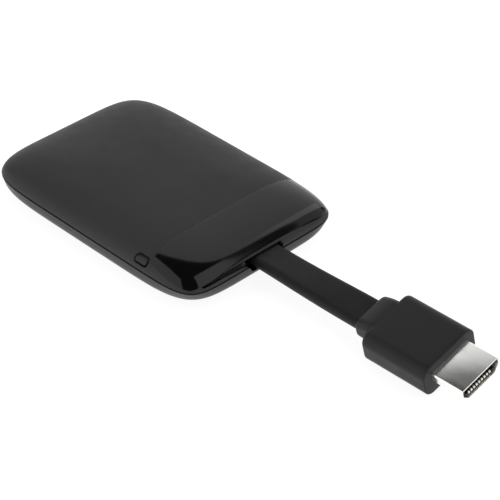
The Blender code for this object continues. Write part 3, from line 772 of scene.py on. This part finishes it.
def make_boot(material):
    angles = full_turn(BOOT_COLUMNS)
    front_x = MOULD_BACK_X + BOOT_OVERLAP
    rings = []
    for x, trim in stations_x(BOOT_BACK_X, front_x, BOOT_BACK_EDGE, BOOT_FRONT_EDGE):
        share = min(1.0, (x - BOOT_BACK_X) / (MOULD_BACK_X - BOOT_BACK_X))
        climb = math.sin(share * math.pi / 2)
        low = BOOT_BACK_LOW + (BOOT_FRONT_LOW - BOOT_BACK_LOW) * share + trim
        high = BOOT_BACK_HIGH + (BOOT_FRONT_HIGH - BOOT_BACK_HIGH) * climb - trim
        outline = by_angle(round_box(BOOT_WIDTH - 2 * trim, high - low, BOOT_CORNER - trim), angles)
        rings.append(section_ring(outline + (0, (low + high) / 2), x))
    passage = passage_ring(BOOT_CLEARANCE, angles)
    rings.insert(0, section_ring(passage, BOOT_BACK_X))
    rings.insert(0, section_ring(passage, BOOT_BACK_X + BOOT_PASSAGE))
    rings.append(section_ring(passage, front_x))
    bm = bmesh.new()
    loft(bm, rings, cap_start=True, cap_end=True)
    piece("cable_boot_body", bm, "plug", material, ["cable_boot"], plug_matrix())


def sheet_tube(bm, outline, sheet, back_x, face_x):
    """A tube of bent sheet metal with a rounded front edge."""
    edge = sheet / 2
    rings = [section_ring(outline, back_x), section_ring(outline, face_x - edge)]
    for angle in (30, 60, 90, 120, 150):
        turn = math.radians(angle)
        inset = edge * (1 - math.cos(turn))
        rings.append(section_ring(shrunk(outline, inset), face_x - edge * (1 - math.sin(turn))))
    rings.append(section_ring(shrunk(outline, sheet), face_x - edge))
    rings.append(section_ring(shrunk(outline, sheet), back_x))
    rows = loft(bm, rings)
    first, last = rows[0], rows[-1]
    for i in range(len(first)):
        j = (i + 1) % len(first)
        bm.faces.new((last[i], last[j], first[j], first[i]))


def make_nose(nickel):
    bm = bmesh.new()
    sheet_tube(bm, rounded(NOSE_OUTLINE, 8), NOSE_SHEET, NOSE_BACK_X, 0.0)
    piece("plug_shell_nose", bm, "plug", nickel, ["plug_shell"], plug_matrix())


def contact_line(z):
    """(x, z) points along one strip's middle, rolled over the insulator's front."""
    outward = math.copysign(1.0, z)
    line = [(CONTACT_BACK_X, z), (CONTACT_BACK_X / 2, z), (CONTACT_FRONT_X, z)]
    for angle in (15, 30, 45, 60, 75, 90):
        turn = math.radians(angle)
        climb = outward * CONTACT_ROLL * (1 - math.cos(turn))
        line.append((CONTACT_FRONT_X + CONTACT_ROLL * math.sin(turn), z + climb))
    end_x, end_z = line[-1]
    return line + [(end_x, end_z + outward * CONTACT_DROP)]


def make_contacts(gold):
    """Contact strips along both faces of the plug's slot."""
    section = round_box(CONTACT_WIDTH, CONTACT_THICKNESS, CONTACT_CORNER, 3)
    for row, count, row_z in CONTACT_ROWS:
        line = contact_line(row_z)
        for i in range(count):
            y = (i - (count - 1) / 2) * CONTACT_PITCH
            rings = []
            for j, (x, z) in enumerate(line):
                before, after = line[max(0, j - 1)], line[min(len(line) - 1, j + 1)]
                lean = math.atan2(after[1] - before[1], after[0] - before[0])
                rings.append([(x - w * math.sin(lean), y + v, z + w * math.cos(lean))
                              for v, w in section])
            bm = bmesh.new()
            loft(bm, rings, cap_start=True, cap_end=True)
            name = "plug_contact_%s_%02d" % (row, i + 1)
            piece(name + "_strip", bm, "plug", gold, [name], plug_matrix())


def make_port(nickel):
    bm = bmesh.new()
    sheet_tube(bm, rounded(PORT_OUTLINE, 8), PORT_SHEET, 0.0, PORT_DEPTH)
    place = Matrix.Translation((PORT_FACE_X + PORT_DEPTH, 0, PORT_Z))
    facing_back = Matrix.Diagonal((-1, 1, 1, 1))
    bmesh.ops.transform(bm, matrix=place @ facing_back, verts=bm.verts)
    piece("power_port_sleeve", bm, "housing", nickel, ["power_port_shell"])


# Materials

def surface(name, colour, roughness, metallic=0.0, grain=0.15, grain_depth=0.02, blotch=12.0,
            variation=0.10, rough_variation=0.05, stretch=(1, 1, 1), specular=0.5):
    """A moulded or plated surface: fine grain, slow colour blotches and uneven roughness.

    grain and blotch are sizes in millimetres, grain_depth is the bump in millimetres.
    """
    mat = bpy.data.materials.new(name)
    mat.use_nodes = True
    nodes, links = mat.node_tree.nodes, mat.node_tree.links
    shader = nodes["Principled BSDF"]
    shader.inputs["Metallic"].default_value = metallic
    shader.inputs["Specular IOR Level"].default_value = specular
    where = nodes.new("ShaderNodeTexCoord")
    scale = nodes.new("ShaderNodeMapping")
    scale.inputs["Scale"].default_value = stretch
    links.new(where.outputs["Object"], scale.inputs["Vector"])

    def noise(size, detail):
        node = nodes.new("ShaderNodeTexNoise")
        node.inputs["Scale"].default_value = 1 / (size * MM)
        node.inputs["Detail"].default_value = detail
        links.new(scale.outputs["Vector"], node.inputs["Vector"])
        return node.outputs["Fac"]

    blotches = noise(blotch, 4)
    grains = noise(grain, 2)

    mixed = nodes.new("ShaderNodeMix")
    mixed.data_type = "RGBA"
    mixed.inputs["A"].default_value = (*[c * (1 - variation) for c in colour], 1)
    mixed.inputs["B"].default_value = (*[min(1, c * (1 + variation)) for c in colour], 1)
    links.new(blotches, mixed.inputs["Factor"])
    links.new(mixed.outputs["Result"], shader.inputs["Base Color"])

    uneven = nodes.new("ShaderNodeMapRange")
    uneven.inputs["From Min"].default_value = 0.3
    uneven.inputs["From Max"].default_value = 0.7
    uneven.inputs["To Min"].default_value = max(0.02, roughness - rough_variation)
    uneven.inputs["To Max"].default_value = roughness + rough_variation
    links.new(noise(blotch * 0.35, 5), uneven.inputs["Value"])
    links.new(uneven.outputs["Result"], shader.inputs["Roughness"])

    bump = nodes.new("ShaderNodeBump")
    bump.inputs["Distance"].default_value = grain_depth * MM
    bump.inputs["Strength"].default_value = 1.0
    links.new(grains, bump.inputs["Height"])
    links.new(bump.outputs["Normal"], shader.inputs["Normal"])
    return mat


def make_materials():
    return {
        "satin": surface("satin_plastic", (0.044, 0.044, 0.0445), 0.45, grain=0.12, grain_depth=0.004,
                         specular=0.09),
        "belly": surface("satin_plastic_below", (0.038, 0.038, 0.0385), 0.36, grain=0.12, grain_depth=0.004,
                         specular=0.28),
        "gloss": surface("gloss_plastic", (0.004, 0.004, 0.0042), 0.09, grain=6.0, grain_depth=0.002,
                         rough_variation=0.012, specular=0.35),
        "cable": surface("cable_jacket", (0.010, 0.010, 0.0105), 0.50, grain=0.10, grain_depth=0.006,
                         specular=0.18),
        "mould": surface("plug_plastic", (0.021, 0.021, 0.021), 0.38, grain=0.14, grain_depth=0.005,
                         specular=0.15),
        "nickel": surface("nickel_plate", (0.95, 0.945, 0.92), 0.22, 1.0, grain=0.25, grain_depth=0.0003,
                          stretch=(0.15, 1, 1), variation=0.02),
        "dark": surface("dark_plastic", (0.008, 0.008, 0.008), 0.5, grain=0.12, grain_depth=0.005),
        "board": surface("board_mask", (0.012, 0.060, 0.030), 0.35, grain=0.5, grain_depth=0.01),
        "chip": surface("chip_epoxy", (0.014, 0.014, 0.015), 0.5, grain=0.08, grain_depth=0.006),
        "gold": surface("contact_gold", (0.80, 0.77, 0.70), 0.30, 1.0, grain=0.08, grain_depth=0.002),
        "aluminium": surface("aluminium", (0.62, 0.63, 0.64), 0.38, 1.0, grain=0.12, grain_depth=0.004,
                             stretch=(0.1, 1, 1)),
        "pad": surface("thermal_pad", (0.30, 0.32, 0.34), 0.8, grain=0.3, grain_depth=0.02),
        "ceramic": surface("ceramic", (0.10, 0.085, 0.07), 0.6, grain=0.1, grain_depth=0.01),
        "white": surface("white_plastic", (0.60, 0.58, 0.53), 0.45, grain=0.15, grain_depth=0.005),
    }


def dress_cad_nodes(looks):
    """Give every CAD node that stays in view a material of its own kind."""
    kinds = (
        ("dark", ("cable_grommet", "cable_clamp", "reset_switch", "plug_insulator", "power_port_tongue")),
        ("board", ("main_board", "plug_board")),
        ("chip", ("system_chip", "memory_chip_1", "memory_chip_2", "storage_chip", "power_chip")),
        ("ceramic", ("power_inductor_1", "power_inductor_2")),
        ("nickel", ("clock_crystal", "chip_shield", "board_screw_1", "board_screw_2", "board_screw_3",
                    "board_screw_4")),
        ("aluminium", ("heat_sink", "wifi_module")),
        ("pad", ("thermal_pad",)),
        ("gold", ("wifi_antenna_near", "wifi_antenna_far")),
        ("white", ("cable_connector", "switch_plunger")),
    )
    chosen = {name: look for look, names in kinds for name in names}
    for name, node in NODES.items():
        if name.startswith("plug_contact"):
            chosen[name] = "gold"
        if name in chosen:
            node.material_slots[0].material = looks[chosen[name]]


# Studio

def direction(azimuth, elevation):
    """Unit vector at these angles in degrees, azimuth measured from +X towards +Y."""
    azimuth, elevation = math.radians(azimuth), math.radians(elevation)
    flat = math.cos(elevation)
    return Vector((flat * math.cos(azimuth), flat * math.sin(azimuth), math.sin(elevation)))


def make_panels():
    """Soft light panels round the object; the camera's side and the ceiling stay dark."""
    for name, azimuth, elevation, roll, half_width, lowest, highest, radiance in PANELS:
        facing = direction(azimuth, elevation)
        low, high = math.tan(math.radians(lowest)), math.tan(math.radians(highest))
        data = bpy.data.lights.new(name, "AREA")
        data.shape = "RECTANGLE"
        data.size = 2 * PANEL_DISTANCE * math.tan(math.radians(half_width))
        data.size_y = PANEL_DISTANCE * (high - low)
        data.energy = radiance * math.pi * data.size * data.size_y
        lamp = bpy.data.objects.new(name, data)
        bpy.context.scene.collection.objects.link(lamp)
        across = Vector((0, 0, 1)).cross(facing).normalized()
        turn = Matrix((across, facing.cross(across), facing)).transposed()
        turn = turn @ Matrix.Rotation(math.radians(roll), 3, "Z")
        spot = STUDIO_MIDDLE + PANEL_DISTANCE * (facing + turn.col[1] * (low + high) / 2)
        lamp.matrix_world = Matrix.Translation(spot) @ turn.to_4x4()
        lamp.visible_camera = False


def make_world():
    """A dark room with a bright band at the horizon, except where the back panel stands."""
    world = bpy.data.worlds.new("studio")
    bpy.context.scene.world = world
    world.use_nodes = True
    nodes, links = world.node_tree.nodes, world.node_tree.links
    where = nodes.new("ShaderNodeTexCoord")

    def eased(value, start, end):
        share = nodes.new("ShaderNodeMapRange")
        share.interpolation_type = "SMOOTHSTEP"
        share.inputs["From Min"].default_value = start
        share.inputs["From Max"].default_value = end
        links.new(value, share.inputs["Value"])
        return share.outputs["Result"]

    split = nodes.new("ShaderNodeSeparateXYZ")
    links.new(where.outputs["Generated"], split.inputs["Vector"])
    band_top, band_full = math.sin(math.radians(BAND_HIGH)), math.sin(math.radians(BAND_LOW))
    band = eased(split.outputs["Z"], band_top, band_full)
    toward = nodes.new("ShaderNodeVectorMath")
    toward.operation = "DOT_PRODUCT"
    toward.inputs[1].default_value = direction(PANELS[0][1], 0)
    links.new(where.outputs["Generated"], toward.inputs[0])
    gap_edge = math.cos(math.radians(BAND_GAP_HALF))
    beside = eased(toward.outputs["Value"], gap_edge, math.cos(math.radians(BAND_FULL_FROM)))
    bright = nodes.new("ShaderNodeMath")
    bright.operation = "MULTIPLY"
    links.new(band, bright.inputs[0])
    links.new(beside, bright.inputs[1])
    mixed = nodes.new("ShaderNodeMix")
    mixed.data_type = "RGBA"
    mixed.inputs["A"].default_value = (ROOM_DARK, ROOM_DARK, ROOM_DARK, 1)
    mixed.inputs["B"].default_value = (BAND_BRIGHT, BAND_BRIGHT, BAND_BRIGHT, 1)
    links.new(bright.outputs["Value"], mixed.inputs["Factor"])
    links.new(mixed.outputs["Result"], nodes["Background"].inputs["Color"])


def make_floor():
    """A wide pale table top, softly lit from within like a light table."""
    bm = bmesh.new()
    bmesh.ops.create_grid(bm, x_segments=8, y_segments=8, size=FLOOR_HALF)
    mesh = bpy.data.meshes.new("floor")
    bm.to_mesh(mesh)
    bm.free()
    mat = surface("floor_paper", (0.25, 0.25, 0.25), 0.8, grain=0.8, grain_depth=0.01, blotch=300,
                  variation=0.01)
    shader = mat.node_tree.nodes["Principled BSDF"]
    shader.inputs["Emission Color"].default_value = (1, 1, 1, 1)
    shader.inputs["Emission Strength"].default_value = FLOOR_GLOW
    mesh.materials.append(mat)
    floor = bpy.data.objects.new("floor", mesh)
    bpy.context.scene.collection.objects.link(floor)


def main():
    bpy.context.scene.view_settings.view_transform = "Standard"
    looks = make_materials()
    make_camera()
    make_cable(looks["cable"])
    make_housing(looks["satin"], looks["gloss"], looks["belly"])
    make_button(looks["satin"])
    make_mould(looks["mould"])
    make_boot(looks["mould"])
    make_nose(looks["nickel"])
    make_contacts(looks["gold"])
    make_port(looks["nickel"])
    dress_cad_nodes(looks)
    make_panels()
    make_world()
    make_floor()


main()
